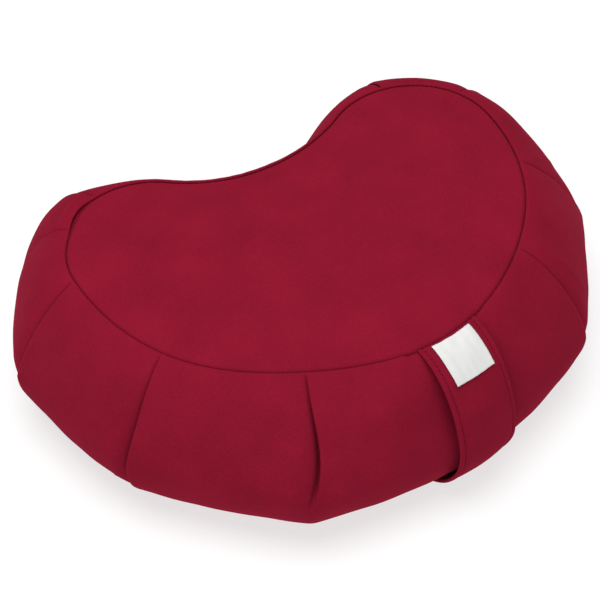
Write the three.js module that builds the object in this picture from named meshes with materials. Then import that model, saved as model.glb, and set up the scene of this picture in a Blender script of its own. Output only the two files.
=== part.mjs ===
// Crescent meditation cushion, in millimetres, +Z up.
// Two kidney-shaped panels are joined by a pleated side band and filled firm.
// A carry strap is caught in both seams at the front, with a small plain label on it.
// The hollow side, where the heels go, faces +Y, and the strap faces -Y.
import * as THREE from 'three';

// Outline of the top seam, seen from above: four arcs that run smoothly into each other
const lobeX = 114.3;
const lobeY = 56.2;
const lobeRadius = 69;
const frontRadius = 183.3;
const hollowRadius = 130.5;

// Middle of both panels, from which the whole outline can be seen
const panelMiddle = { x: 0, y: -20 };

// Puts the origin under the middle of the whole cushion
const planShift = { x: 1.8, y: 0.3 };

// Heights
const seamHeight = 135;
const girthHeight = 58.5;
const baseSeamHeight = 4;
const crown = 7;

// Cloth
const panelThickness = 2.6;
const rimWidth = 1.5;
const seamGap = 0.35;
const pieceGap = 0.5;

// Side band between the pleats
const baseReach = 6;
const lowerRoundness = 2;
const panelRoundness = 0.18;
const tuckRun = 26;
const stepHalf = 0.9;
const upperDart = { end: 1.15, droop: 1.5 };
const lowerDart = { start: 1.5, share: 0.35 };

// Pleats, going round the top seam from the middle of the hollow by the left end.
// along: place on the seam. slip: how far the seam wanders out of the smooth outline there.
// reach: how far the band stands out below it. lean: slip of the widest point along the seam.
// shoulder: 1 is a straight upper slope and 2 a quarter circle. tuck: depth of the fold.
// puff: how far the panel after it bulges. over: the neighbouring panel that lies on top.
const pleats = [
  { along: 50, slip: -1.3, reach: 27, lean: 0, shoulder: 1.5, tuck: 3, puff: -4, over: 'after' },
  { along: 139, slip: 2.1, reach: 59, lean: 4, shoulder: 1.4, tuck: 3, puff: 3, over: 'after' },
  { along: 178, slip: -2.2, reach: 47, lean: -1, shoulder: 1.6, tuck: 3, puff: 5, over: 'after' },
  { along: 234, slip: -0.5, reach: 54, lean: -2, shoulder: 1.27, tuck: 5, puff: 3.5, over: 'after' },
  { along: 332, slip: 1.7, reach: 52, lean: -1, shoulder: 1.35, tuck: 6, puff: 3.5, over: 'after' },
  { along: 439, slip: -3.4, reach: 62, lean: -3, shoulder: 1.35, tuck: 7, puff: 4.5, over: 'after' },
  { along: 547, slip: 1.7, reach: 39, lean: 0, shoulder: 1.12, tuck: 2, puff: 4.5, over: 'before' },
  { along: 651, slip: -1.9, reach: 61, lean: -2, shoulder: 1.45, tuck: 6, puff: 1.5, over: 'before' },
  { along: 745, slip: 0.1, reach: 59, lean: 6, shoulder: 1.2, tuck: 5, puff: 6, over: 'before' },
  { along: 839, slip: 0.2, reach: 57, lean: -2, shoulder: 1.32, tuck: 5, puff: 3, over: 'before' },
  { along: 905, slip: -0.9, reach: 60, lean: -3, shoulder: 1.45, tuck: 4, puff: 4, over: 'before' },
  { along: 996, slip: 1.5, reach: 28, lean: 2, shoulder: 1.1, tuck: 3, puff: -7, over: 'before' },
];

// Carry strap: doubled cloth that stands off the band
const strap = {
  along: 547.5,
  width: 54,
  thickness: 2.2,
  reach: 53.5,
  upperRoundness: 1.8,
  lowerRoundness: 1.75,
  turnHeight: 57,
  endReach: 10,
  endHeight: 1.2,
  seamBite: 1.3,
};

// Pocket pressed into the band where the strap is caught in the top seam
const strapDent = { depth: 2.7, halfWidth: 38, fadeTurn: 0.3 };

// Label sewn on the strap, a little below the top seam
const label = { start: 3, width: 35, length: 33.5, thickness: 1, lift: 0.25 };

// Fineness of the meshes
const stepsPerPanel = 9;
const stepsPerSlope = 9;
const panelRings = [0.94, 0.7, 0.35];
const strapStepsAcross = 6;
const strapStepsPerTurn = 12;
const labelStepsAcross = 3;
const labelStepsAlong = 6;

const quarterTurn = Math.PI / 2;

// Arcs of the left half of the outline, from the middle of the hollow to the middle of the front
function outlineArcs() {
  const frontY = lobeY + Math.sqrt((frontRadius - lobeRadius) ** 2 - lobeX ** 2);
  const hollowY = lobeY + Math.sqrt((hollowRadius + lobeRadius) ** 2 - lobeX ** 2);
  const hollowEnd = Math.atan2(hollowY - lobeY, lobeX);
  const frontEnd = Math.atan2(frontY - lobeY, lobeX);
  const hollow = { x: 0, y: hollowY, radius: hollowRadius, start: -quarterTurn, out: -1 };
  const lobe = { x: -lobeX, y: lobeY, radius: lobeRadius, start: hollowEnd, out: 1 };
  const front = { x: 0, y: frontY, radius: frontRadius, start: Math.PI + frontEnd, out: 1 };
  hollow.sweep = hollowEnd - quarterTurn;
  lobe.sweep = Math.PI - hollowEnd + frontEnd;
  front.sweep = quarterTurn - frontEnd;
  return [hollow, lobe, front];
}

const arcs = outlineArcs();
const halfLength = arcs.reduce((sum, arc) => sum + Math.abs(arc.sweep) * arc.radius, 0);
const seamLength = 2 * halfLength;

// How far the seam wanders out of the smooth outline, easing from one pleat to the next
function seamSlip(round) {
  const found = pleats.findIndex((pleat) => pleat.along > round);
  const next = found < 0 ? 0 : found;
  const after = pleats[next];
  const before = pleats[(next + pleats.length - 1) % pleats.length];
  const gap = THREE.MathUtils.euclideanModulo(after.along - before.along, seamLength);
  const share = THREE.MathUtils.euclideanModulo(round - before.along, seamLength) / gap;
  return THREE.MathUtils.lerp(before.slip, after.slip, (1 - Math.cos(Math.PI * share)) / 2);
}

// Point of the top seam at a distance round it, with the direction that points out of the cushion
function seamPoint(along) {
  const round = THREE.MathUtils.euclideanModulo(along, seamLength);
  const mirrored = round > halfLength;
  let rest = mirrored ? seamLength - round : round;
  let arc = arcs[0];
  for (arc of arcs) {
    const length = Math.abs(arc.sweep) * arc.radius;
    if (rest <= length || arc === arcs[arcs.length - 1]) break;
    rest -= length;
  }
  const angle = arc.start + Math.sign(arc.sweep) * rest / arc.radius;
  const side = mirrored ? -1 : 1;
  const out = new THREE.Vector2(side * arc.out * Math.cos(angle), arc.out * Math.sin(angle));
  const place = new THREE.Vector2(
    side * (arc.x + arc.radius * Math.cos(angle)),
    arc.y + arc.radius * Math.sin(angle),
  );
  place.addScaledVector(out, seamSlip(round));
  return { place, out };
}

// Widest point of the band below a pleat, seen from above
function girthPoint(pleat) {
  const { place, out } = seamPoint(pleat.along);
  const forward = new THREE.Vector2(-out.y, out.x);
  return place.addScaledVector(out, pleat.reach).addScaledVector(forward, pleat.lean);
}

// Quarter of a superellipse: across grows from 0 to 1 while up falls from 1 to 0
function slope(turn, roundness) {
  const across = Math.sin(turn * quarterTurn);
  const up = Math.max(Math.cos(turn * quarterTurn), 0);
  const scale = (across ** roundness + up ** roundness) ** (-1 / roundness);
  return { across: across * scale, up: up * scale };
}

// Columns of the band: each panel between two pleats starts and ends just clear of their fold lines
function bandColumns() {
  const columns = [];
  pleats.forEach((before, index) => {
    const after = pleats[(index + 1) % pleats.length];
    const gap = THREE.MathUtils.euclideanModulo(after.along - before.along, seamLength);
    for (let step = 0; step <= stepsPerPanel; step += 1) {
      const from = THREE.MathUtils.lerp(stepHalf, gap - stepHalf, step / stepsPerPanel);
      columns.push(bandColumn(before, after, from, gap));
    }
  });
  return columns;
}

function bandColumn(before, after, from, gap) {
  const share = from / gap;
  const middle = 4 * share * (1 - share);
  const { place, out } = seamPoint(before.along + from);
  const girth = girthPoint(before).lerp(girthPoint(after), share).addScaledVector(out, before.puff * middle);
  const spread = girth.sub(place);
  const shoulder = THREE.MathUtils.lerp(before.shoulder, after.shoulder, share) + panelRoundness * middle;
  const underBefore = before.over === 'before' ? before.tuck * fade(from / tuckRun) : 0;
  const underAfter = after.over === 'after' ? after.tuck * fade((gap - from) / tuckRun) : 0;
  const strapDistance = Math.abs(before.along + from - strap.along);
  const dent = strapDistance < strapDent.halfWidth ? strapDent.depth : 0;
  return { place, out, spread, reach: spread.length(), shoulder, tuck: underBefore + underAfter, dent };
}

// 1 at the start, easing down to 0
function fade(share) {
  return Math.max(1 - share, 0) ** 2;
}

// How far a pleat stands open: a long dart from the top seam and a short one from the base seam
function foldOpening(turn) {
  const upper = Math.min(turn / upperDart.end, 1) ** upperDart.droop;
  const lower = Math.max(turn - lowerDart.start, 0) / (2 - lowerDart.start);
  return Math.max(Math.sin(Math.PI * upper), 0) + lowerDart.share * Math.max(Math.sin(Math.PI * lower), 0);
}

// Point of the band: turn is 0 at the top seam, 1 at the widest level and 2 at the base seam
function bandPoint(column, turn) {
  let reach = column.reach;
  let height = 0;
  if (turn <= 1) {
    const upper = slope(turn, column.shoulder);
    reach *= upper.across;
    height = THREE.MathUtils.lerp(girthHeight, seamHeight, upper.up);
    height -= column.dent * fade(turn / strapDent.fadeTurn);
  } else {
    const lower = slope(turn - 1, lowerRoundness);
    reach = THREE.MathUtils.lerp(baseReach, column.reach, lower.up);
    height = THREE.MathUtils.lerp(girthHeight, baseSeamHeight, lower.across);
  }
  const share = (reach - column.tuck * foldOpening(turn)) / column.reach;
  const plan = column.place.clone().addScaledVector(column.spread, share);
  return new THREE.Vector3(plan.x, plan.y, height);
}

// A copy of a seam ring, moved inwards and to another height
function insetRing(columns, reach, height) {
  return columns.map((column) => {
    const plan = column.place.clone().addScaledVector(column.out, reach);
    return new THREE.Vector3(plan.x, plan.y, typeof height === 'number' ? height : height(column));
  });
}

// Rings of a panel's face, from just inside its edge to near its middle, with a height for each
function panelFace(edgeReach, heightAt) {
  const edge = insetRing(columns, edgeReach, 0);
  return panelRings.map((scale) => edge.map((point) => new THREE.Vector3(
    point.x * scale,
    THREE.MathUtils.lerp(panelMiddle.y, point.y, scale),
    heightAt(scale),
  )));
}

function pole(height) {
  return new THREE.Vector3(panelMiddle.x, panelMiddle.y, height);
}

// Triangles between neighbouring rings, the first ring starting at a given point number
function ringFaces(rings, first) {
  const count = rings[0].length;
  const at = (ring, step) => first + ring * count + (step % count);
  const faces = [];
  for (let ring = 0; ring < rings.length - 1; ring += 1) {
    for (let step = 0; step < count; step += 1) {
      faces.push(at(ring, step), at(ring + 1, step), at(ring + 1, step + 1));
      faces.push(at(ring, step), at(ring + 1, step + 1), at(ring, step + 1));
    }
  }
  return faces;
}

function meshOf(points, faces) {
  const geometry = new THREE.BufferGeometry();
  geometry.setAttribute('position', new THREE.Float32BufferAttribute(points.flatMap((p) => p.toArray()), 3));
  geometry.setIndex(faces);
  geometry.computeVertexNormals();
  return geometry;
}

// Closed body of rings between a point above and a point below
function roundBody(topPole, rings, basePole) {
  const count = rings[0].length;
  const points = [topPole, ...rings.flat(), basePole];
  const lowest = points.length - 1;
  const lastRing = lowest - count;
  const faces = ringFaces(rings, 1);
  for (let step = 0; step < count; step += 1) {
    const next = (step + 1) % count;
    faces.push(0, 1 + step, 1 + next);
    faces.push(lastRing + step, lowest, lastRing + next);
  }
  return meshOf(points, faces);
}

const columns = bandColumns();

// Height of the top panel's upper face: a low crown, turned down a little at the seam
function topHeight(scale) {
  return seamHeight + crown * (1 - scale ** 2.4);
}

// Height of the base panel's lower face: flat on the floor, turned up to the base seam
function baseHeight(scale) {
  const flatScale = panelRings[0];
  return scale > flatScale ? 2.2 : 0;
}

// The filled side band, with a shallow recess for each panel
function sideBand() {
  const floorDrop = panelThickness + pieceGap;
  const topEdge = insetRing(columns, -rimWidth, seamHeight - floorDrop);
  const topRim = insetRing(columns, -rimWidth, (column) => seamHeight - column.dent);
  const baseEdge = insetRing(columns, baseReach - rimWidth, baseHeight(1) + floorDrop);
  const baseRim = insetRing(columns, baseReach - rimWidth, baseSeamHeight);
  const rings = [
    ...panelFace(-rimWidth, (scale) => topHeight(scale) - floorDrop).reverse(),
    topEdge,
    topRim,
  ];
  for (let step = 0; step <= 2 * stepsPerSlope; step += 1) {
    rings.push(columns.map((column) => bandPoint(column, step / stepsPerSlope)));
  }
  rings.push(baseRim, baseEdge);
  rings.push(...panelFace(baseReach - rimWidth, (scale) => baseHeight(scale) + floorDrop));
  return roundBody(pole(topHeight(0) - floorDrop), rings, pole(baseHeight(0) + floorDrop));
}

function topPanel() {
  const inset = -rimWidth - seamGap;
  const edge = insetRing(columns, inset, seamHeight);
  const under = insetRing(columns, inset, seamHeight - panelThickness);
  const rings = [
    ...panelFace(-rimWidth, topHeight).reverse(),
    edge,
    under,
    ...panelFace(-rimWidth, (scale) => topHeight(scale) - panelThickness),
  ];
  return roundBody(pole(topHeight(0)), rings, pole(topHeight(0) - panelThickness));
}

function basePanel() {
  const rimReach = baseReach - rimWidth;
  const reach = rimReach - seamGap;
  const edge = insetRing(columns, reach, baseHeight(1) + panelThickness);
  const under = insetRing(columns, reach, baseHeight(1));
  const rings = [
    ...panelFace(rimReach, (scale) => baseHeight(scale) + panelThickness).reverse(),
    edge,
    under,
    ...panelFace(rimReach, baseHeight),
  ];
  return roundBody(pole(panelThickness), rings, pole(0));
}

// Side view of the strap's outer face: reach beyond the seam against height
function strapProfile() {
  const profile = [new THREE.Vector2(-strap.seamBite, seamHeight)];
  for (let step = 0; step <= 2 * strapStepsPerTurn; step += 1) {
    const turn = step / strapStepsPerTurn;
    if (turn <= 1) {
      const upper = slope(turn, strap.upperRoundness);
      const height = THREE.MathUtils.lerp(strap.turnHeight, seamHeight, upper.up);
      profile.push(new THREE.Vector2(strap.reach * upper.across, height));
    } else {
      const lower = slope(turn - 1, strap.lowerRoundness);
      const reach = THREE.MathUtils.lerp(strap.endReach, strap.reach, lower.up);
      const height = THREE.MathUtils.lerp(strap.turnHeight, strap.endHeight, lower.across);
      profile.push(new THREE.Vector2(reach, height));
    }
  }
  return profile;
}

// The same line moved square to itself, outwards when the distance is positive
function offsetProfile(profile, distance) {
  return profile.map((point, index) => {
    const before = profile[Math.max(index - 1, 0)];
    const after = profile[Math.min(index + 1, profile.length - 1)];
    const direction = after.clone().sub(before).normalize();
    return point.clone().add(new THREE.Vector2(-direction.y, direction.x).multiplyScalar(distance));
  });
}

// Closed strip between two side views, laid across the strap's width from the curve of the seam
function strip(outer, inner, width, stepsAcross) {
  const middle = seamPoint(strap.along);
  const place = (point, share) => {
    const seam = seamPoint(strap.along + width * (share - 0.5)).place;
    seam.addScaledVector(middle.out, point.x);
    return new THREE.Vector3(seam.x, seam.y, point.y);
  };
  const rings = outer.map((point, index) => {
    const ring = [];
    for (let step = 0; step <= stepsAcross; step += 1) ring.push(place(point, step / stepsAcross));
    for (let step = stepsAcross; step >= 0; step -= 1) ring.push(place(inner[index], step / stepsAcross));
    return ring;
  });
  const faces = ringFaces(rings, 0);
  const count = rings[0].length;
  const lastRing = (rings.length - 1) * count;
  for (let step = 0; step < stepsAcross; step += 1) {
    const facing = count - 1 - step;
    faces.push(step, step + 1, facing, step + 1, facing - 1, facing);
    faces.push(lastRing + step, lastRing + facing, lastRing + step + 1);
    faces.push(lastRing + step + 1, lastRing + facing, lastRing + facing - 1);
  }
  return meshOf(rings.flat(), faces);
}

function handleStrap() {
  const outer = strapProfile();
  return strip(outer, offsetProfile(outer, -strap.thickness), strap.width, strapStepsAcross);
}

// The label follows the strap's outer face for its own length
function sewnLabel() {
  const path = new THREE.CurvePath();
  const profile = strapProfile();
  profile.slice(1).forEach((point, index) => path.add(new THREE.LineCurve(profile[index], point)));
  const line = [];
  for (let step = 0; step <= labelStepsAlong; step += 1) {
    const distance = label.start + label.length * step / labelStepsAlong;
    line.push(path.getPointAt(distance / path.getLength()));
  }
  const inner = offsetProfile(line, pieceGap + label.lift);
  return strip(offsetProfile(inner, label.thickness), inner, label.width, labelStepsAcross);
}

// Finishes
const crimsonCloth = new THREE.MeshStandardMaterial({ color: 0x8d1a30, roughness: 0.92, metalness: 0 });
const strapCloth = new THREE.MeshStandardMaterial({ color: 0x80182b, roughness: 0.92, metalness: 0 });
const labelCloth = new THREE.MeshStandardMaterial({ color: 0xe9e9e9, roughness: 0.7, metalness: 0 });

const cushion = new THREE.Group();

function addPiece(name, geometry, material) {
  const piece = new THREE.Mesh(geometry, material);
  piece.name = name;
  cushion.add(piece);
}

addPiece('side_band', sideBand(), crimsonCloth);
addPiece('top_panel', topPanel(), crimsonCloth);
addPiece('bottom_panel', basePanel(), crimsonCloth);
addPiece('handle_strap', handleStrap(), strapCloth);
addPiece('label', sewnLabel(), labelCloth);
cushion.position.set(planShift.x, planShift.y, 0);

export default cushion;
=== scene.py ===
"""Crescent meditation cushion: crowned panels, a pleated side band, a carry strap and a plain label."""
import math

import bpy
import numpy as np
from mathutils import Matrix, Vector, noise


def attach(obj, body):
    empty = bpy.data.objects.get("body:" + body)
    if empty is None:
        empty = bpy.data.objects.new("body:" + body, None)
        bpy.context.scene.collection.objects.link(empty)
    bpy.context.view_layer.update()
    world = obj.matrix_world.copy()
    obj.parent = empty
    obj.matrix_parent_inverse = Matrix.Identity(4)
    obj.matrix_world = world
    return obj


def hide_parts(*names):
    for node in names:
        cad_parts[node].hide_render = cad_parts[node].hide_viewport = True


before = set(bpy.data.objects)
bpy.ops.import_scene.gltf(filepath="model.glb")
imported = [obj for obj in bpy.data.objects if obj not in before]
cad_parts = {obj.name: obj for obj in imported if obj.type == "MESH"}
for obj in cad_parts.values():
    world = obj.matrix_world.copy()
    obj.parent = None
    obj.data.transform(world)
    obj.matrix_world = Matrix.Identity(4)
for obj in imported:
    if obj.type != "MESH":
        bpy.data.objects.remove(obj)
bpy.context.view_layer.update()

# Shapes are worked out in millimetres and stored in metres.
MM = 0.001

# Top seam, seen from above: four arcs that run smoothly into each other, round two lobes.
LOBE_X = 114.3
LOBE_Y = 56.2
LOBE_RADIUS = 69
FRONT_RADIUS = 183.3
HOLLOW_RADIUS = 130.5

# Point to which the panels' rings shrink, and the shift that brings the middle of the whole cushion
# to about the origin
PANEL_MIDDLE = np.array([0.0, -20.0])
PLAN_SHIFT = np.array([1.8, 0.3])

# Heights and thicknesses
SEAM_HEIGHT = 135
GIRTH_HEIGHT = 58.5
BASE_SEAM_HEIGHT = 4
CROWN = 7
CROWN_SHAPE = 2.4
PANEL_THICKNESS = 2.6
PIECE_GAP = 0.5

# Top seam: depth of the groove, and how far its bottom lies inside the outline
SEAM_DEPTH = 2.4
SEAM_SETBACK = 1.6

# Side band. A turn is a place between the seams: 0 at the top, 1 at the girth and 2 at the base.
# Roundness: of the slope below the girth, and added to the shoulder midway between two pleats.
# Rows are crowded towards the seams.
BASE_REACH = 6
LOWER_ROUNDNESS = 2
PANEL_ROUNDNESS = 0.18
UPPER_ROWS = 52
UPPER_CROWDING = 1.5
LOWER_ROWS = 38
LOWER_CROWDING = 1.4
COLUMN_SPACING = 2.2

# Waves that make the cloth uneven: (height, size, seed) of each. Each seed shifts them by this step.
SEED_STEP = (17.3, 5.1, 9.7)
BAND_WAVES = [(1.5, 62, 3), (0.6, 24, 5)]
BAND_PUCKER = [(0.4, 5.5, 8)]
TOP_WAVES = [(0.9, 75, 11), (0.35, 30, 12)]
TOP_PUCKER = [(0.35, 5.5, 14)]
STRAP_WAVES = [(0.5, 22, 21)]
LABEL_WAVES = [(0.5, 9, 31)]
LABEL_WRINKLES = [(0.5, 5, 33)]

# Turns over which the band gets loose, and over which its pucker starts and ends
LOOSE_TURN = 0.5
PUCKER_START_TURN = 0.01
PUCKER_TURN = 0.05

# Pleats, going round the top seam from the middle of the hollow by the left end.
# along: place on the seam. slip: how far the seam wanders out of the arcs. reach: how far the band
# stands out below it. lean: slip of the widest point along the seam. bow: bend of the fold line.
# shoulder: 1 is a straight upper slope, 2 a quarter ellipse. tuck: depth of the fold.
# puff: bulge of the panel that follows. close: turn at which the fold has closed.
# over: the panel that lies on top.
PLEAT_FIELDS = ("along", "slip", "reach", "lean", "bow", "shoulder", "tuck", "puff", "close", "over")
PLEATS = {
    "hollow_left": (50, 0.4, 27, 0, 0, 1.15, 3, -6, 1.1, "after"),
    "left_back": (139, 2.1, 54, 7, 0, 1.7, 2, 2.5, 1.0, "after"),
    "left_corner": (178, -2.2, 47, -1, 0, 1.55, 0.5, 4, 0.4, "after"),
    "left_side": (234, -0.5, 54, -2, 0, 1.27, 5, 3.5, 1.35, "after"),
    "left_front": (332, 1.7, 52, -4, 1, 1.33, 9.5, 3.5, 1.5, "after"),
    "front": (437.5, -3.4, 62, 1.5, 5, 1.35, 8.5, 4.5, 1.08, "after"),
    "strap": (547, 1.7, 44, 0, 0, 1.12, 2, 5, 0.9, "before"),
    "right_front": (651, -1.9, 62, -2, 0, 1.45, 6, 1.5, 1.3, "before"),
    "right_side": (745, 0.1, 60, 6, 0, 1.22, 2, 6, 1.1, "before"),
    "right_corner": (839, 0.2, 57, -2, 0, 1.42, 5, 3, 1.0, "before"),
    "right_back": (905, -0.9, 60, -3, 0, 1.4, 3, 4, 1.0, "before"),
    "hollow_right": (996, 1.5, 28, 2, 0, 1.1, 3, -7, 1.1, "before"),
}

# Section of a fold whose upper layer comes from ahead, from the lower panel to the upper one.
# shut, opened: distance along the seam from the fold line. level: rise of the cloth.
# sunk: share of the tuck by which the cloth sinks further.
FOLD_FIELDS = ("shut", "opened", "level", "sunk")
FOLD = [
    (-5.0, -4.0, 0.0, 0.45),
    (-4.0, -2.6, -0.2, 0.6),
    (-3.2, -1.5, -0.7, 0.8),
    (-2.6, -0.6, -1.6, 0.95),
    (-2.0, 1.4, -2.5, 1.0),
    (-1.6, 4.2, -2.9, 0.9),
    (-1.2, 5.6, -2.5, 0.5),
    (-0.9, 4.2, -1.9, 0.1),
    (-0.6, 1.8, -1.8, 0.0),
    (-0.3, 0.5, -1.6, 0.0),
    (0.0, 0.0, -1.0, 0.0),
    (0.3, 0.2, -0.35, 0.0),
    (0.8, 1.0, 0.05, 0.0),
    (2.0, 2.6, 0.3, 0.0),
    (5.0, 5.0, 0.1, 0.0),
]

# Half width of that section, columns for each of its rows, the turns over which a fold opens below
# the seam and closes at its end, and how far down the dart is deepest (1 is halfway)
FOLD_REACH = 5
FOLD_STEPS = 2
FOLD_OPENING_TURN = 0.05
FOLD_CLOSING_TURN = 0.35
DART_DROOP = 1.5

# Distances along the seam over which a pleat's tuck and bow fade out, and how far down the bow bends
# most (1 is halfway)
TUCK_RUN = 13
BOW_RUN = 45
BOW_SHAPE = 1.5

# Distance along the seam over which a pleat's corner is softened, and the turns from each seam over
# which that sets in
CORNER_SOFTNESS = 2.5
CORNER_TURN = 0.5

# Soft ridges and grooves of the band, each from one place to another.
# along: place on the seam. rise: height of the ridge, below 0 for a groove. A ridge is weakest at
# its ends, and one turn is about TURN_LENGTH long.
RIDGE_FIELDS = ("along", "turn", "end_along", "end_turn", "rise", "width")
RIDGES = [
    (141, 0.09, 178, 0.11, 2.4, 4.0),
    (182, 0.08, 158, 0.40, 1.1, 2.2),
    (180, 0.12, 170, 0.55, 0.9, 2.2),
    (664, 0.10, 672, 0.90, 1.0, 2.8),
    (752, 0.06, 768, 0.60, 0.9, 2.6),
    (862, 0.06, 896, 0.05, -1.8, 2.0),
    (912, 0.03, 922, 0.20, 1.2, 2.2),
    (330, 0.95, 318, 1.35, 1.0, 2.2),
    (345, 0.05, 352, 0.45, 0.5, 2.6),
    (452, 0.90, 462, 1.30, 0.6, 3.0),
]
RIDGE_END = 0.1
RIDGE_START_TURN = 0.02
TURN_LENGTH = 105

# Stretch of the top seam at the left end where the band gapes away from the panel
SEAM_PULL_START = 138
SEAM_PULL_END = 188
SEAM_PULL_WIDTH = 2.0
SEAM_PULL_FADE = 0.05

# The band's edge from the top seam down to the recess of the panel. inward, down: from the seam.
# undercut, deeper: share of the gape by which the cloth draws back and sinks. dented: 1 where it
# follows the strap's pocket.
SEAM_LIP_FIELDS = ("inward", "down", "undercut", "deeper", "dented")
SEAM_LIP = [
    (1.0, 0.25, 1, 0, 1),
    (1.45, 0.9, 2, 0.2, 1),
    (SEAM_SETBACK, SEAM_DEPTH, 2.2, 1, 0),
    (SEAM_SETBACK, PANEL_THICKNESS + PIECE_GAP, 0, 0.5, 0),
]

# The band's edge at the base seam, turned in over the base panel's raised edge: (reach, height)
BASE_TURN_UP = 2.2
BASE_LIP = [
    (BASE_REACH - 0.9, BASE_SEAM_HEIGHT),
    (BASE_REACH - 1.5, BASE_SEAM_HEIGHT + 0.6),
    (BASE_REACH - 1.5, BASE_TURN_UP + PANEL_THICKNESS + PIECE_GAP),
]

# Hidden faces between the body and the panels: setback of the recess, and how far its rings shrink
RECESS_SETBACK = 1.5
RECESS_SHARES = (0.94, 0.7, 0.35)

# Top panel: rings at these insets from its edge, then rings that shrink to the middle. Its edge rolls
# down into the seam. Inwards from there its waves grow and its pucker fades, each over its own run.
TOP_COLUMNS = 480
TOP_INSETS = (0, 0.1, 0.3, 0.7, 1.3, 2, 3, 4.2, 5.6, 7.5, 10, 13)
TOP_RINGS = 22
TOP_RING_RUN = 40
TOP_EDGE_GAP = 0.3
TOP_EDGE_THICKNESS = 0.25
TOP_EDGE_TUCK = 0.15
TOP_ROLL = 1.0
TOP_ROLL_SHAPE = 1.1
TOP_LOOSE_RUN = 25
TOP_PUCKER_START = 0.3
TOP_PUCKER_RUN = 4

# Base panel: its edge turns up to the seam. The curl is (inset, height) from the edge to the flat.
BASE_COLUMNS = 300
BASE_EDGE_REACH = BASE_REACH - 1.85
BASE_EDGE_HEIGHT = 3.4
BASE_CURL = [(0.5, 2.4), (1.6, 1.5), (3.2, 0.8), (5.5, 0.3), (8.5, 0.05)]
BASE_FLAT_INSET = 12
BASE_FLAT_SHARES = (1, 0.85, 0.6, 0.3)

# Carry strap: doubled cloth that stands off the band. It turns under at STRAP_TURN_HEIGHT and is
# caught in both seams.
STRAP_ALONG = 547.5
STRAP_WIDTH = 54
STRAP_THICKNESS = 2.2
STRAP_REACH = 52.5
STRAP_UPPER_ROUNDNESS = 1.8
STRAP_LOWER_ROUNDNESS = 1.75
STRAP_TURN_HEIGHT = 57
STRAP_END_REACH = 10
STRAP_END_HEIGHT = 1.2
STRAP_SEAM_BITE = 1.3
STRAP_SEAM_SINK = 0.6
STRAP_LOWEST = 0.3
STRAP_LOOSE_RUN = 20
STRAP_ROWS = 150

# Steps in each half of the strap's side view: fine for the cloth, rough for the label and the length
FINE_STEPS = 60
ROUGH_STEPS = 40

# Section of the strap: distances from its edge, and the relief of its turned-in hems
STRAP_HEM = 4.2
STRAP_EDGE_STEPS = np.array([0, 0.35, 1.2, 2.6, STRAP_HEM - 0.5, STRAP_HEM, STRAP_HEM + 0.6, STRAP_HEM + 2])
STRAP_MIDDLE_START = STRAP_HEM + 5
STRAP_MIDDLE_COLUMNS = 7
STRAP_ROUND_OFF = {"height": 0.95, "width": 0.55}
STRAP_GROOVE = {"depth": 0.6, "width": 0.75}
STRAP_SWELL = {"height": 0.5, "from edge": 1.9, "width": 1.3}

# Stitches: height of the strap's over its face, and depth of the seam's
STITCH_RISE = -0.35
SEAM_STITCH_DEPTH = 1.0
STRAP_STITCH_START = 4
STRAP_STITCH_STEPS = 120
SEAM_STITCH_STEPS = 500
STRAP_STITCHES = {"Spacing": 3.3 * MM, "Length": 2.3 * MM, "Thickness": 0.6 * MM}
SEAM_STITCHES = {"Spacing": 3.6 * MM, "Length": 1.7 * MM, "Thickness": 0.8 * MM}

# Pocket pressed into the band where the strap is caught in the top seam
DENT_DEPTH = 2.7
DENT_HALF_WIDTH = 40
DENT_EDGE = 8
DENT_FADE_TURN = 0.3

# Label sewn on the strap, with wrinkles drawn out down its length
LABEL_START = 3
LABEL_WIDTH = 35
LABEL_LENGTH = 33.5
LABEL_THICKNESS = 0.7
LABEL_LIFT = 0.7
LABEL_CURL = 0.9
LABEL_WRINKLE_RUN = 0.3
LABEL_ROWS = 40
LABEL_COLUMNS = 31

# Points of the seam outline that give the panels' flat size
OUTLINE_STEPS = 400

# Cloth: colour of the dye, a painted shade that darkens the strap's copy of it, the dye's uneven shades,
# twill ribs and nap. Texture scales are per metre, and WAVE_PERIOD is about the period of a wave texture at
# scale 1.
CRIMSON = (0.21, 0.0074, 0.0228)
# Painted shade: the strap's copy of the crimson is made a little darker
STRAP_PAINTED_SHADE = 0.97
THREAD_SHADE = 0.6
DARK_SHADE = 0.83
LIGHT_SHADE = 1.17
DYE_SCALE = 28
NAP_SCALE = 850
NAP_SHARE = 0.55
TWILL_SPACING = 0.9 * MM
LABEL_RIB_SPACING = 0.7 * MM
WAVE_PERIOD = 0.314

# Studio, in metres and watts
FLOOR_SIZE = 12
SKY_STRENGTH = 0.4
LIGHT_TARGET = (0, 0, 0.07)
SOFTBOXES = {
    "overhead softbox": {"place": (-0.2, 0.0, 2.2), "size": 1.7, "power": 40},
    "left front softbox": {"place": (-1.5, -1.7, 1.4), "size": 1.2, "power": 13},
}

# Camera: where it stands, its axes, and its lens
CAMERA_PLACE = Vector((-0.4951, -0.8444, 1.1621))
CAMERA_RIGHT = Vector((0.8715, -0.4904, 0.0))
CAMERA_UP = Vector((0.3656, 0.6497, 0.6665))
CAMERA_LENS = 114
CAMERA_SENSOR = 36


def smooth_step(value):
    """0 up to 0, 1 from 1 on, and an even rise between."""
    value = np.clip(value, 0, 1)
    return value * value * (3 - 2 * value)


def fade(share):
    """1 at the start, easing down to 0."""
    return np.maximum(1 - share, 0) ** 2


def mix(first, second, share):
    """The first value at share 0, the second at share 1."""
    return first + (second - first) * share


def rounded(points, between):
    """A smooth line through points, with a number of steps between each two."""
    padded = np.concatenate([points[:1], points, points[-1:]])
    found = []
    for first, second, third, fourth in zip(padded, padded[1:], padded[2:], padded[3:]):
        for share in np.arange(between) / between:
            found.append(0.5 * (
                2 * second + (third - first) * share
                + (2 * first - 5 * second + 4 * third - fourth) * share ** 2
                + (3 * second - first - 3 * third + fourth) * share ** 3
            ))
    return np.array([*found, points[-1]])


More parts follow.
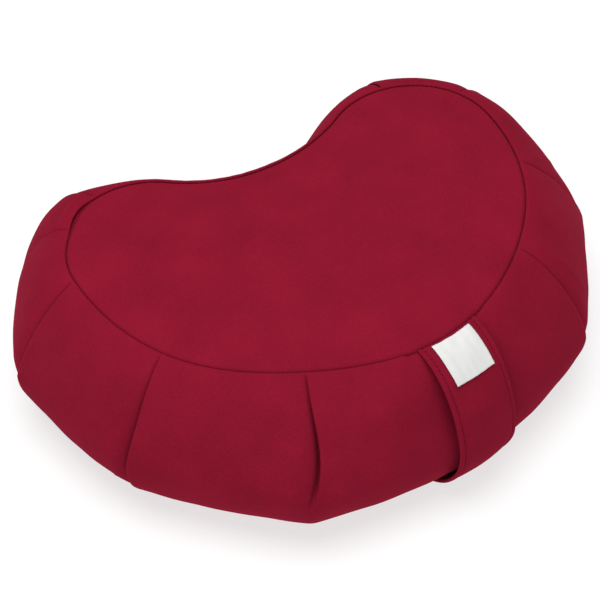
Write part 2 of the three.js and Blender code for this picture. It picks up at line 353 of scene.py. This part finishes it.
def wander(points, size, seed):
    """Smooth random values from -1 to 1 at points in millimetres, with bumps of a given size."""
    shift = Vector([seed * step for step in SEED_STEP])
    flat = points.reshape(-1, 3) / size
    values = [noise.noise(Vector(point) + shift) for point in flat]
    return np.array(values).reshape(points.shape[:-1])


def uneven(points, waves):
    """Sum of smooth random waves at points in millimetres."""
    return sum(height * wander(points, size, seed) for height, size, seed in waves)


def outline_arcs():
    """Arcs of the left half, from the middle of the hollow to the middle of the front."""
    quarter = math.pi / 2
    front_y = LOBE_Y + math.sqrt((FRONT_RADIUS - LOBE_RADIUS) ** 2 - LOBE_X ** 2)
    hollow_y = LOBE_Y + math.sqrt((HOLLOW_RADIUS + LOBE_RADIUS) ** 2 - LOBE_X ** 2)
    hollow_end = math.atan2(hollow_y - LOBE_Y, LOBE_X)
    front_end = math.atan2(front_y - LOBE_Y, LOBE_X)
    return [
        {"x": 0, "y": hollow_y, "radius": HOLLOW_RADIUS, "start": -quarter,
         "sweep": hollow_end - quarter, "out": -1},
        {"x": -LOBE_X, "y": LOBE_Y, "radius": LOBE_RADIUS, "start": hollow_end,
         "sweep": math.pi - hollow_end + front_end, "out": 1},
        {"x": 0, "y": front_y, "radius": FRONT_RADIUS, "start": math.pi + front_end,
         "sweep": quarter - front_end, "out": 1},
    ]


ARCS = outline_arcs()
HALF_LENGTH = sum(abs(arc["sweep"]) * arc["radius"] for arc in ARCS)
SEAM_LENGTH = 2 * HALF_LENGTH
PLEAT_ROWS = [dict(zip(PLEAT_FIELDS, row)) for row in PLEATS.values()]
PLEAT_COLUMNS = {field: np.array([row[field] for row in PLEAT_ROWS]) for field in PLEAT_FIELDS}
PLEAT_ALONG = PLEAT_COLUMNS["along"]


def between_pleats(along):
    """Number of the pleat before each place on the seam, and the share of the way to the next."""
    along = np.mod(along, SEAM_LENGTH)
    before = np.searchsorted(PLEAT_ALONG, along, side="right") - 1
    before = np.mod(before, len(PLEAT_ALONG))
    after = np.mod(before + 1, len(PLEAT_ALONG))
    gap = np.mod(PLEAT_ALONG[after] - PLEAT_ALONG[before], SEAM_LENGTH)
    share = np.mod(along - PLEAT_ALONG[before], SEAM_LENGTH) / gap
    return before, after, share


def seam(along):
    """Points of the top seam at distances round it, and the directions out of the cushion there."""
    along = np.mod(np.asarray(along, float), SEAM_LENGTH)
    mirrored = along > HALF_LENGTH
    rest = np.where(mirrored, SEAM_LENGTH - along, along)
    side = np.where(mirrored, -1.0, 1.0)
    points = np.zeros(along.shape + (2,))
    outs = np.zeros(along.shape + (2,))
    start = 0.0
    for arc in ARCS:
        here = rest >= start
        angle = arc["start"] + math.copysign(1, arc["sweep"]) * (rest - start) / arc["radius"]
        x = side * (arc["x"] + arc["radius"] * np.cos(angle))
        y = arc["y"] + arc["radius"] * np.sin(angle)
        points[here] = np.stack([x, y], -1)[here]
        outs[here] = np.stack([side * arc["out"] * np.cos(angle), arc["out"] * np.sin(angle)], -1)[here]
        start += abs(arc["sweep"]) * arc["radius"]
    before, after, share = between_pleats(along)
    slips = PLEAT_COLUMNS["slip"]
    slip = mix(slips[before], slips[after], (1 - np.cos(math.pi * share)) / 2)
    return points + outs * slip[..., None], outs


def pleat_girths():
    """Widest point of the band below each pleat, seen from above."""
    places, outs = seam(PLEAT_ALONG)
    forward = np.stack([-outs[:, 1], outs[:, 0]], -1)
    reach = PLEAT_COLUMNS["reach"][:, None]
    lean = PLEAT_COLUMNS["lean"][:, None]
    return places + outs * reach + forward * lean


GIRTHS = pleat_girths()


def slope(turn, roundness):
    """Quarter of a superellipse: across grows from 0 to 1 while up falls from 1 to 0."""
    across = np.sin(turn * math.pi / 2)
    up = np.maximum(np.cos(turn * math.pi / 2), 0)
    scale = (across ** roundness + up ** roundness) ** (-1 / roundness)
    return across * scale, up * scale


def panel_skin(along, turn):
    """Points of the band without its folds, and the directions in which it stands out."""
    place, out = seam(along)
    before, after, share = between_pleats(along)
    middle = 4 * share * (1 - share)
    girth = mix(GIRTHS[before], GIRTHS[after], share[..., None])
    girth = girth + out * (PLEAT_COLUMNS["puff"][before] * middle)[..., None]
    spread = girth - place
    full = np.linalg.norm(spread, axis=-1)
    shoulders = PLEAT_COLUMNS["shoulder"]
    shoulder = mix(shoulders[before], shoulders[after], share) + PANEL_ROUNDNESS * middle
    upper_across, upper_up = slope(np.minimum(turn, 1), shoulder)
    lower_across, lower_up = slope(np.clip(turn - 1, 0, 1), LOWER_ROUNDNESS)
    is_upper = turn <= 1
    reach = np.where(is_upper, full * upper_across, mix(BASE_REACH, full, lower_up))
    height = np.where(
        is_upper,
        mix(GIRTH_HEIGHT, SEAM_HEIGHT, upper_up),
        mix(GIRTH_HEIGHT, BASE_SEAM_HEIGHT, lower_across),
    )
    plan = place + spread * (reach / full)[..., None]
    return np.concatenate([plan, height[..., None]], -1), spread / full[..., None]


def band_skin(along, turn):
    """The same band with its corners at the pleats rounded off away from the seams."""
    middle, facing = panel_skin(along, turn)
    before, _ = panel_skin(along - CORNER_SOFTNESS, turn)
    after, _ = panel_skin(along + CORNER_SOFTNESS, turn)
    softness = (smooth_step(turn / CORNER_TURN) * smooth_step((2 - turn) / CORNER_TURN))[..., None]
    return mix(middle, (before + middle + after) / 3, softness), facing


def band_outward(along, turn):
    """Direction square to the smooth band, in the upright plane in which it falls."""
    step = 0.01
    above, facing = band_skin(along, np.clip(turn - step, 0, 2))
    below, _ = band_skin(along, np.clip(turn + step, 0, 2))
    run = np.sum((below - above)[..., :2] * facing, -1)
    fall = (above - below)[..., 2]
    length = np.hypot(run, fall)
    plan = facing * (fall / length)[..., None]
    return np.concatenate([plan, (run / length)[..., None]], -1)


def fold_shape(turn, close):
    """How far a pleat is folded over, and how deep its dart is, from the seam to where it closes."""
    opening = smooth_step(turn / FOLD_OPENING_TURN)
    closing = smooth_step((turn - close + FOLD_CLOSING_TURN) / FOLD_CLOSING_TURN)
    folded = opening * (1 - closing)
    share = np.minimum(turn / close, 1) ** DART_DROOP
    return folded, np.maximum(np.sin(math.pi * share), 0)


def mesh_object(name, points, faces):
    """Closed mesh from points in millimetres, moved to its place in the frame."""
    placed = np.array(points, float)
    placed[:, :2] += PLAN_SHIFT
    mesh = bpy.data.meshes.new(name)
    mesh.from_pydata((placed * MM).tolist(), [], faces)
    mesh.polygons.foreach_set("use_smooth", [True] * len(mesh.polygons))
    mesh.update()
    piece = bpy.data.objects.new(name, mesh)
    bpy.context.collection.objects.link(piece)
    return piece


def ring_body(rings, top, bottom):
    """Points and faces of closed rings, listed from the top down, between two poles."""
    count = len(rings[0])
    points = np.concatenate([[top], *rings, [bottom]])
    lowest = len(points) - 1
    faces = []
    for ring in range(len(rings) - 1):
        first = 1 + ring * count
        for step in range(count):
            after = (step + 1) % count
            faces.append((first + step, first + count + step, first + count + after, first + after))
    last = lowest - count
    for step in range(count):
        after = (step + 1) % count
        faces.append((0, 1 + step, 1 + after))
        faces.append((last + step, lowest, last + after))
    return points, faces


def at_height(plan, height):
    """Points seen from above, raised to a height."""
    return np.concatenate([plan, np.broadcast_to(height, plan.shape[:-1])[..., None]], -1)


def towards_middle(plan, scale):
    """An outline shrunk towards the middle of the panels."""
    return PANEL_MIDDLE + (plan - PANEL_MIDDLE) * scale


def panel_height(scale):
    """Height of the top panel's upper face: a low crown, highest in the middle."""
    return SEAM_HEIGHT + CROWN * (1 - scale ** CROWN_SHAPE)


def fold_columns(pleat):
    """Columns across the folded layers of one pleat."""
    section = rounded(np.array(FOLD), FOLD_STEPS)
    if pleat["over"] == "before":
        section = section[::-1] * [-1, -1, 1, 1]
    columns = []
    for values in section:
        fold = dict(zip(FOLD_FIELDS, values))
        columns.append((
            pleat["along"] + fold["shut"], pleat["along"] + fold["opened"], fold["level"],
            fold["sunk"] * pleat["tuck"], pleat["bow"], pleat["close"],
        ))
    return columns


def plain_columns(pleat, following):
    """Columns of the panel between one pleat and the next."""
    gap = (following["along"] - pleat["along"]) % SEAM_LENGTH
    under_before = pleat["over"] == "before"
    under_after = following["over"] == "after"
    columns = []
    for distance in np.linspace(FOLD_REACH, gap - FOLD_REACH, round(gap / COLUMN_SPACING))[1:-1]:
        sunk = under_before * pleat["tuck"] * fade(distance / TUCK_RUN)
        sunk += under_after * following["tuck"] * fade((gap - distance) / TUCK_RUN)
        bow = pleat["bow"] * fade(distance / BOW_RUN)
        bow += following["bow"] * fade((gap - distance) / BOW_RUN)
        close = pleat["close"] if distance < gap / 2 else following["close"]
        along = pleat["along"] + distance
        columns.append((along, along, 0, sunk, bow, close))
    return columns


def band_columns():
    """Columns of the band. shut and opened: place on the seam with the folds shut and open.
    level: rise of the cloth in a fold. sunk: depth of the tuck. bow: bend of the fold line.
    close: turn at which the folds have closed."""
    columns = []
    for pleat, following in zip(PLEAT_ROWS, PLEAT_ROWS[1:] + PLEAT_ROWS[:1]):
        columns += fold_columns(pleat)
        columns += plain_columns(pleat, following)
    return np.array(columns).T


def soft_ridges(along, turn):
    """Rise of the band's soft ridges and grooves."""
    rise = np.zeros_like(along)
    for row in RIDGES:
        ridge = dict(zip(RIDGE_FIELDS, row))
        start = np.array([ridge["along"], ridge["turn"] * TURN_LENGTH])
        run = np.array([ridge["end_along"], ridge["end_turn"] * TURN_LENGTH]) - start
        away = np.stack([along, turn * TURN_LENGTH], -1) - start
        share = np.clip(away @ run / (run @ run), 0, 1)
        distance = np.linalg.norm(away - share[..., None] * run, axis=-1)
        strength = np.sin(math.pi * mix(RIDGE_END, 1 - RIDGE_END, share))
        rise += ridge["rise"] * strength * np.exp(-(distance / ridge["width"]) ** 2)
    return rise


def seam_pull(along):
    """Width by which the band gapes away from the top panel."""
    share = np.clip((along - SEAM_PULL_START) / (SEAM_PULL_END - SEAM_PULL_START), 0, 1)
    return SEAM_PULL_WIDTH * np.sin(math.pi * share) ** 2


def strap_dent(along, turn):
    """How far the band is pressed down under the strap's sewn end."""
    distance = np.abs(along - STRAP_ALONG)
    across = smooth_step((DENT_HALF_WIDTH - distance) / DENT_EDGE)
    return DENT_DEPTH * across * fade(turn / DENT_FADE_TURN)


def band_cloth(columns):
    """Rows of the band's outer face, from the top seam to the base seam."""
    shut, opened, level, sunk, bow, close = columns
    upper = np.linspace(0, 1, UPPER_ROWS) ** UPPER_CROWDING
    lower = 2 - np.linspace(1, 0, LOWER_ROWS)[1:] ** LOWER_CROWDING
    turn, _ = np.meshgrid(np.concatenate([upper, lower]), shut, indexing="ij")
    folded, dart = fold_shape(turn, close)
    bend = np.sin(math.pi * np.minimum(turn, 1) ** BOW_SHAPE)
    along = mix(shut, opened, folded) + bow * bend
    points, _ = band_skin(along, turn)
    outward = band_outward(along, turn)
    ridges = soft_ridges(along, turn) * smooth_step(turn / RIDGE_START_TURN)
    points = points + outward * (folded * level - dart * sunk + ridges)[..., None]

    from_seam = np.minimum(turn, 2 - turn)
    loose = smooth_step(from_seam / LOOSE_TURN)
    points = points + outward * (loose * uneven(points, BAND_WAVES))[..., None]
    puckered = np.exp(-from_seam / PUCKER_TURN) * smooth_step(from_seam / PUCKER_START_TURN)
    points = points + outward * (puckered * uneven(points * [1, 1, 0], BAND_PUCKER))[..., None]
    points[..., 2] -= strap_dent(along, turn)

    _, out = seam(shut)
    gape = seam_pull(shut)[:, None] * np.exp(-turn / SEAM_PULL_FADE)[..., None]
    points[..., :2] += out * gape
    return points


def side_band():
    """Filled body: the pleated band, its edges at both seams, and its faces under the panels."""
    columns = band_columns()
    shut = columns[0]
    place, out = seam(shut)
    pull = seam_pull(shut)
    dent = strap_dent(shut, 0 * shut)
    rings = list(band_cloth(columns))
    for row in SEAM_LIP:
        lip = dict(zip(SEAM_LIP_FIELDS, row))
        edge = place - out * (lip["inward"] - lip["undercut"] * pull[:, None])
        depth = lip["down"] + lip["deeper"] * pull + lip["dented"] * dent
        rings.insert(0, at_height(edge, SEAM_HEIGHT - depth))
    rings += [at_height(place + out * reach, height) for reach, height in BASE_LIP]
    base_edge = place + out * BASE_LIP[-1][0]
    recess = place - out * RECESS_SETBACK
    top_gap = PANEL_THICKNESS + PIECE_GAP
    for share in RECESS_SHARES:
        rings.insert(0, at_height(towards_middle(recess, share), panel_height(share) - top_gap))
        rings.append(at_height(towards_middle(base_edge, share), top_gap))
    top = [*PANEL_MIDDLE, panel_height(0) - top_gap]
    bottom = [*PANEL_MIDDLE, top_gap]
    return mesh_object("side_band_cloth", *ring_body(rings, top, bottom))


def panel_rings(edge, out, insets, shares):
    """Rings of a panel from its edge inwards: outline, share of the way from the middle, and inset."""
    reach = np.linalg.norm(edge - PANEL_MIDDLE, axis=-1)
    found = [(edge - out * inset, 1 - inset / reach, inset) for inset in insets]
    last_plan, last_share, last_inset = found[-1]
    for share in shares:
        inset = last_inset + TOP_RING_RUN * (1 - share)
        found.append((towards_middle(last_plan, share), last_share * share, inset))
    return found


def top_panel():
    """Crowned panel whose edge rolls down into the top seam."""
    along = np.linspace(0, SEAM_LENGTH, TOP_COLUMNS, endpoint=False)
    place, out = seam(along)
    edge = place - out * (SEAM_SETBACK + TOP_EDGE_GAP)
    pucker = uneven(at_height(edge, 0), TOP_PUCKER)
    rings = []
    for plan, share, inset in panel_rings(edge, out, TOP_INSETS, np.linspace(1, 0, TOP_RINGS)[1:-1]):
        roll = SEAM_DEPTH * np.exp(-(inset / TOP_ROLL) ** TOP_ROLL_SHAPE)
        ring = at_height(plan, panel_height(share) - roll)
        ring[:, 2] += smooth_step(inset / TOP_LOOSE_RUN) * uneven(ring, TOP_WAVES)
        if inset > TOP_PUCKER_START:
            ring[:, 2] += pucker * math.exp(-inset / TOP_PUCKER_RUN)
        rings.insert(0, ring)
    under_edge = edge - out * TOP_EDGE_TUCK
    rings.append(at_height(under_edge, SEAM_HEIGHT - SEAM_DEPTH - TOP_EDGE_THICKNESS))
    for share in RECESS_SHARES:
        rings.append(at_height(towards_middle(under_edge, share), panel_height(share) - PANEL_THICKNESS))
    top = [*PANEL_MIDDLE, panel_height(0)]
    bottom = [*PANEL_MIDDLE, panel_height(0) - PANEL_THICKNESS]
    return mesh_object("top_panel_cloth", *ring_body(rings, top, bottom))


def bottom_panel():
    """Base panel: flat on the floor, with its edge turned up to the base seam."""
    along = np.linspace(0, SEAM_LENGTH, BASE_COLUMNS, endpoint=False)
    place, out = seam(along)
    edge = place + out * BASE_EDGE_REACH
    rings = [at_height(towards_middle(edge, share), PANEL_THICKNESS) for share in reversed(RECESS_SHARES)]
    rings.append(at_height(edge, BASE_TURN_UP + PANEL_THICKNESS))
    rings.append(at_height(edge, BASE_EDGE_HEIGHT))
    for inset, height in BASE_CURL:
        rings.append(at_height(edge - out * inset, height))
    flat_edge = edge - out * BASE_FLAT_INSET
    for share in BASE_FLAT_SHARES:
        rings.append(at_height(towards_middle(flat_edge, share), 0))
    top = [*PANEL_MIDDLE, PANEL_THICKNESS]
    bottom = [*PANEL_MIDDLE, 0]
    return mesh_object("bottom_panel_cloth", *ring_body(rings, top, bottom))


def strap_profile(steps):
    """Side view of the strap's outer face: reach beyond the seam against height."""
    turn = np.linspace(0, 2, 2 * steps + 1)
    upper_across, upper_up = slope(np.minimum(turn, 1), STRAP_UPPER_ROUNDNESS)
    lower_across, lower_up = slope(np.clip(turn - 1, 0, 1), STRAP_LOWER_ROUNDNESS)
    reach = np.where(turn <= 1, STRAP_REACH * upper_across, mix(STRAP_END_REACH, STRAP_REACH, lower_up))
    height = np.where(
        turn <= 1,
        mix(STRAP_TURN_HEIGHT, SEAM_HEIGHT, upper_up),
        mix(STRAP_TURN_HEIGHT, STRAP_END_HEIGHT, lower_across),
    )
    caught_end = [-STRAP_SEAM_BITE, SEAM_HEIGHT - STRAP_SEAM_SINK]
    return np.concatenate([[caught_end], np.stack([reach, height], -1)])


def resampled(line, count, start=0, length=None):
    """Part of a line with evenly spaced points, and their distances from the line's start."""
    walked = np.concatenate([[0], np.cumsum(np.linalg.norm(np.diff(line, axis=0), axis=1))])
    distances = np.linspace(start, walked[-1] if length is None else start + length, count)
    points = np.stack([np.interp(distances, walked, column) for column in line.T], -1)
    return points, distances


def line_normals(line):
    """Directions square to a line, on its left."""
    direction = np.gradient(line, axis=0)
    direction /= np.linalg.norm(direction, axis=1)[:, None]
    return np.stack([-direction[:, 1], direction[:, 0]], -1)


def strap_place(reach_height, across):
    """A point of the strap's side view, carried across the strap's width along the seam's curve."""
    start, _ = seam(STRAP_ALONG + across)
    _, facing = seam(np.array([STRAP_ALONG]))
    plan = start + facing[0] * reach_height[..., :1]
    return np.concatenate([plan, reach_height[..., 1:]], -1)


def strip_faces(rings):
    """Points and faces of a closed strip of rings, each with its outer face first."""
    count = len(rings[0])
    points = np.concatenate(rings)
    faces = []
    for ring in range(len(rings) - 1):
        for step in range(count):
            after = (step + 1) % count
            first = ring * count
            faces.append((first + step, first + count + step, first + count + after, first + after))
    last = (len(rings) - 1) * count
    half = count // 2
    for step in range(half - 1):
        facing = count - 1 - step
        faces.append((step, step + 1, facing - 1, facing))
        faces.append((last + step, last + facing, last + facing - 1, last + step + 1))
    return points, faces


def strap_section():
    """Ring across the strap: outer face, then inner face, with thick turned-in hems at both edges."""
    half = STRAP_WIDTH / 2
    middle_half = half - STRAP_MIDDLE_START
    across = np.concatenate([
        STRAP_EDGE_STEPS - half,
        np.linspace(-middle_half, middle_half, STRAP_MIDDLE_COLUMNS),
        half - STRAP_EDGE_STEPS[::-1],
    ])
    from_edge = half - np.abs(across)
    round_off = STRAP_ROUND_OFF["height"] * np.exp(-from_edge / STRAP_ROUND_OFF["width"])
    groove = STRAP_GROOVE["depth"] * np.exp(-((from_edge - STRAP_HEM) / STRAP_GROOVE["width"]) ** 2)
    from_swell = from_edge - STRAP_SWELL["from edge"]
    swell = STRAP_SWELL["height"] * np.exp(-(from_swell / STRAP_SWELL["width"]) ** 2)
    outer = np.stack([across, swell - round_off - groove], -1)
    inner = outer[::-1].copy()
    inner[:, 1] = -STRAP_THICKNESS - inner[:, 1]
    return np.concatenate([outer, inner])


def handle_strap():
    """Strap caught in both seams, standing off the band between them."""
    line, _ = resampled(strap_profile(FINE_STEPS), STRAP_ROWS)
    section = strap_section()
    rings = []
    for point, normal in zip(line, line_normals(line)):
        rings.append(strap_place(point + normal * section[:, 1:], section[:, 0]))
    points, faces = strip_faces(rings)
    loose = smooth_step((SEAM_HEIGHT - points[:, 2]) / STRAP_LOOSE_RUN)
    points[:, 1] -= uneven(points, STRAP_WAVES) * loose
    points[:, 2] = np.maximum(points[:, 2], STRAP_LOWEST)
    return mesh_object("strap_cloth", points, faces)


def woven_label():
    """Label lying on the strap, a little wrinkled, its lower corners lifted."""
    line, distances = resampled(strap_profile(ROUGH_STEPS), LABEL_ROWS, LABEL_START, LABEL_LENGTH)
    half = LABEL_WIDTH / 2
    across = np.linspace(-half, half, LABEL_COLUMNS)
    rings = []
    for point, normal, distance in zip(line, line_normals(line), distances):
        down = (distance - LABEL_START) / LABEL_LENGTH
        spots = np.stack([across, 0 * across + distance, 0 * across], -1)
        wave = uneven(spots, LABEL_WAVES) + uneven(spots * [1, LABEL_WRINKLE_RUN, 1], LABEL_WRINKLES)
        curl = LABEL_CURL * down ** 3 * (np.abs(across) / half) ** 4
        lift = LABEL_LIFT + wave + curl
        faces_out = strap_place(point + normal * (lift + LABEL_THICKNESS)[:, None], across)
        faces_in = strap_place(point + normal * lift[:, None], across)
        rings.append(np.concatenate([faces_out, faces_in[::-1]]))
    return mesh_object("label_cloth", *strip_faces(rings))


def set_inputs(node, values):
    """Set a node's inputs by their names."""
    for name, value in values.items():
        node.inputs[name].default_value = value


def stitch_tree():
    """Node tree that lays a stitch at even steps along a line."""
    tree = bpy.data.node_groups.new("stitches along a line", "GeometryNodeTree")
    tree.interface.new_socket("Line", in_out="INPUT", socket_type="NodeSocketGeometry")
    for name in ("Spacing", "Length", "Thickness"):
        tree.interface.new_socket(name, in_out="INPUT", socket_type="NodeSocketFloat")
    tree.interface.new_socket("Thread", in_out="INPUT", socket_type="NodeSocketMaterial")
    tree.interface.new_socket("Stitches", in_out="OUTPUT", socket_type="NodeSocketGeometry")
    nodes = tree.nodes
    links = tree.links
    inputs = nodes.new("NodeGroupInput")
    output = nodes.new("NodeGroupOutput")
    curve = nodes.new("GeometryNodeMeshToCurve")
    steps = nodes.new("GeometryNodeResampleCurve")
    steps.mode = "LENGTH"
    tangent = nodes.new("GeometryNodeInputTangent")
    turn = nodes.new("FunctionNodeAlignRotationToVector")
    turn.axis = "X"
    bead = nodes.new("GeometryNodeMeshUVSphere")
    set_inputs(bead, {"Segments": 8, "Rings": 6, "Radius": 0.5})
    size = nodes.new("ShaderNodeCombineXYZ")
    place = nodes.new("GeometryNodeInstanceOnPoints")
    realize = nodes.new("GeometryNodeRealizeInstances")
    thread = nodes.new("GeometryNodeSetMaterial")
    links.new(inputs.outputs["Line"], curve.inputs["Mesh"])
    links.new(curve.outputs["Curve"], steps.inputs["Curve"])
    links.new(inputs.outputs["Spacing"], steps.inputs["Length"])
    links.new(steps.outputs["Curve"], place.inputs["Points"])
    links.new(bead.outputs["Mesh"], place.inputs["Instance"])
    links.new(tangent.outputs["Tangent"], turn.inputs["Vector"])
    links.new(turn.outputs["Rotation"], place.inputs["Rotation"])
    links.new(inputs.outputs["Length"], size.inputs["X"])
    links.new(inputs.outputs["Thickness"], size.inputs["Y"])
    links.new(inputs.outputs["Thickness"], size.inputs["Z"])
    links.new(size.outputs["Vector"], place.inputs["Scale"])
    links.new(place.outputs["Instances"], realize.inputs["Geometry"])
    links.new(realize.outputs["Geometry"], thread.inputs["Geometry"])
    links.new(inputs.outputs["Thread"], thread.inputs["Material"])
    links.new(thread.outputs["Geometry"], output.inputs["Stitches"])
    return tree


def stitching(name, lines, tree, sizes, thread):
    """Plain mesh of stitches along open lines of points in millimetres."""
    edges = []
    start = 0
    for line in lines:
        edges += [(start + step, start + step + 1) for step in range(len(line) - 1)]
        start += len(line)
    placed = np.concatenate(lines)
    placed[:, :2] += PLAN_SHIFT
    path = bpy.data.meshes.new(name + "_path")
    path.from_pydata((placed * MM).tolist(), edges, [])
    piece = bpy.data.objects.new(name, path)
    bpy.context.collection.objects.link(piece)
    modifier = piece.modifiers.new("stitches", "NODES")
    modifier.node_group = tree
    values = {**sizes, "Thread": thread}
    for item in tree.interface.items_tree:
        if item.in_out == "INPUT" and item.name in values:
            modifier[item.identifier] = values[item.name]
    evaluated = piece.evaluated_get(bpy.context.evaluated_depsgraph_get())
    plain = bpy.data.meshes.new_from_object(evaluated)
    piece.modifiers.remove(modifier)
    piece.data = plain
    plain.polygons.foreach_set("use_smooth", [True] * len(plain.polygons))
    return piece


def strap_stitch_lines():
    """One line along each hem of the strap."""
    line, _ = resampled(strap_profile(FINE_STEPS), STRAP_STITCH_STEPS, STRAP_STITCH_START)
    away = line + line_normals(line) * STITCH_RISE
    stitch = STRAP_WIDTH / 2 - STRAP_HEM
    return [strap_place(away, np.full(len(away), side * stitch)) for side in (-1, 1)]


def seam_stitch_lines():
    """One line round the bottom of the top seam's groove."""
    along = np.linspace(0, SEAM_LENGTH, SEAM_STITCH_STEPS)
    place, out = seam(along)
    height = SEAM_HEIGHT - SEAM_STITCH_DEPTH - strap_dent(along, 0 * along)
    return [at_height(place - out * SEAM_SETBACK, height)]


def shaded(colour, share):
    """A colour made darker or lighter."""
    return tuple(share * value for value in colour)


def bump(nodes, strength, distance):
    """Bump node of a given strength and depth."""
    node = nodes.new("ShaderNodeBump")
    set_inputs(node, {"Strength": strength, "Distance": distance})
    return node


def cloth_material(name, colour):
    """Brushed cotton twill: slanted ribs, a short nap and a soft uneven dye."""
    material = bpy.data.materials.new(name)
    material.use_nodes = True
    nodes = material.node_tree.nodes
    links = material.node_tree.links
    shader = nodes["Principled BSDF"]
    set_inputs(shader, {
        "Roughness": 0.9,
        "Sheen Weight": 0.15,
        "Sheen Roughness": 0.45,
        "Sheen Tint": (1.0, 0.12, 0.2, 1.0),
        "Specular IOR Level": 0,
    })

    place = nodes.new("ShaderNodeTexCoord")
    dye = nodes.new("ShaderNodeTexNoise")
    set_inputs(dye, {"Scale": DYE_SCALE, "Detail": 4})
    nap = nodes.new("ShaderNodeTexNoise")
    set_inputs(nap, {"Scale": NAP_SCALE, "Detail": 3})
    twill = nodes.new("ShaderNodeTexWave")
    twill.wave_type = "BANDS"
    twill.bands_direction = "DIAGONAL"
    set_inputs(twill, {"Scale": WAVE_PERIOD / TWILL_SPACING, "Distortion": 0.6})
    for texture in (dye, nap, twill):
        links.new(place.outputs["Object"], texture.inputs["Vector"])

    speckle = nodes.new("ShaderNodeMix")
    speckle.data_type = "FLOAT"
    set_inputs(speckle, {"Factor": NAP_SHARE})
    links.new(dye.outputs["Fac"], speckle.inputs["A"])
    links.new(nap.outputs["Fac"], speckle.inputs["B"])
    tone = nodes.new("ShaderNodeValToRGB")
    dark, light = tone.color_ramp.elements
    dark.position = 0.3
    dark.color = (*shaded(colour, DARK_SHADE), 1)
    light.position = 0.7
    light.color = (*shaded(colour, LIGHT_SHADE), 1)
    links.new(speckle.outputs["Result"], tone.inputs["Fac"])
    links.new(tone.outputs["Color"], shader.inputs["Base Color"])

    weave_bump = bump(nodes, 0.35, 0.12 * MM)
    nap_bump = bump(nodes, 0.5, 0.35 * MM)
    links.new(twill.outputs["Fac"], weave_bump.inputs["Height"])
    links.new(nap.outputs["Fac"], nap_bump.inputs["Height"])
    links.new(weave_bump.outputs["Normal"], nap_bump.inputs["Normal"])
    links.new(nap_bump.outputs["Normal"], shader.inputs["Normal"])
    return material


def label_material():
    """Plain white woven ribbon with fine cross ribs."""
    material = bpy.data.materials.new("white woven label")
    material.use_nodes = True
    nodes = material.node_tree.nodes
    links = material.node_tree.links
    shader = nodes["Principled BSDF"]
    set_inputs(shader, {"Base Color": (0.66, 0.66, 0.65, 1), "Roughness": 0.55, "Sheen Weight": 0.1})
    place = nodes.new("ShaderNodeTexCoord")
    ribs = nodes.new("ShaderNodeTexWave")
    set_inputs(ribs, {"Scale": WAVE_PERIOD / LABEL_RIB_SPACING})
    rib_bump = bump(nodes, 0.3, 0.08 * MM)
    links.new(place.outputs["Object"], ribs.inputs["Vector"])
    links.new(ribs.outputs["Fac"], rib_bump.inputs["Height"])
    links.new(rib_bump.outputs["Normal"], shader.inputs["Normal"])
    return material


def floor_material():
    """White sweep that glows a little, so that shadows on it stay pale."""
    material = bpy.data.materials.new("pale floor")
    material.use_nodes = True
    set_inputs(material.node_tree.nodes["Principled BSDF"], {
        "Base Color": (0.36, 0.36, 0.36, 1),
        "Roughness": 0.8,
        "Specular IOR Level": 0.1,
        "Emission Color": (1, 1, 1, 1),
        "Emission Strength": 0.65,
    })
    return material


def area_light(name, place, size, power):
    """Round softbox that faces the cushion."""
    data = bpy.data.lights.new(name, "AREA")
    data.shape = "DISK"
    data.size = size
    data.energy = power
    light = bpy.data.objects.new(name, data)
    light.location = place
    light.rotation_mode = "QUATERNION"
    light.rotation_quaternion = (Vector(LIGHT_TARGET) - Vector(place)).to_track_quat("-Z", "Y")
    bpy.context.collection.objects.link(light)


def studio():
    """Pale floor, soft lights and a white sky."""
    bpy.ops.mesh.primitive_plane_add(size=FLOOR_SIZE)
    floor = bpy.context.object
    floor.name = "floor"
    floor.data.materials.append(floor_material())
    world = bpy.data.worlds.new("studio")
    world.use_nodes = True
    set_inputs(world.node_tree.nodes["Background"], {"Color": (1, 1, 1, 1), "Strength": SKY_STRENGTH})
    bpy.context.scene.world = world
    bpy.context.scene.view_settings.view_transform = "Standard"
    for name, softbox in SOFTBOXES.items():
        area_light(name, **softbox)


def photo_camera():
    """Camera at the photograph's viewing angle."""
    camera = bpy.data.objects.new("camera", bpy.data.cameras.new("camera"))
    back = CAMERA_RIGHT.cross(CAMERA_UP)
    turned = Matrix((CAMERA_RIGHT, CAMERA_UP, back)).transposed().to_4x4()
    camera.matrix_world = Matrix.Translation(CAMERA_PLACE) @ turned
    camera.data.lens = CAMERA_LENS
    camera.data.sensor_width = CAMERA_SENSOR
    bpy.context.collection.objects.link(camera)
    bpy.context.scene.camera = camera


def add_piece(piece, node, material):
    """Give a piece its finish, and let it stand for its solid."""
    piece.data.materials.append(material)
    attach(piece, "root")
    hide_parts(node)
    return piece


crimson_cloth = cloth_material("crimson brushed cotton", CRIMSON)
# The strap's cloth is the crimson darkened by painted shade
strap_cloth = cloth_material("crimson strap cotton with painted shade", shaded(CRIMSON, STRAP_PAINTED_SHADE))

studio()
photo_camera()
band = add_piece(side_band(), "side_band", crimson_cloth)
top = add_piece(top_panel(), "top_panel", crimson_cloth)
bottom = add_piece(bottom_panel(), "bottom_panel", crimson_cloth)
strap = add_piece(handle_strap(), "handle_strap", strap_cloth)
label = add_piece(woven_label(), "label", label_material())

thread = cloth_material("crimson thread", shaded(CRIMSON, THREAD_SHADE))
stitches = stitch_tree()
for name, lines, sizes, slot in (
    ("strap_stitching", strap_stitch_lines(), STRAP_STITCHES, "strap_cloth"),
    ("seam_stitching", seam_stitch_lines(), SEAM_STITCHES, "panel_cloth"),
):
    piece = stitching(name, lines, stitches, sizes, thread)
    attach(piece, "root")

seam_outline, _ = seam(np.linspace(0, SEAM_LENGTH, OUTLINE_STEPS, endpoint=False))
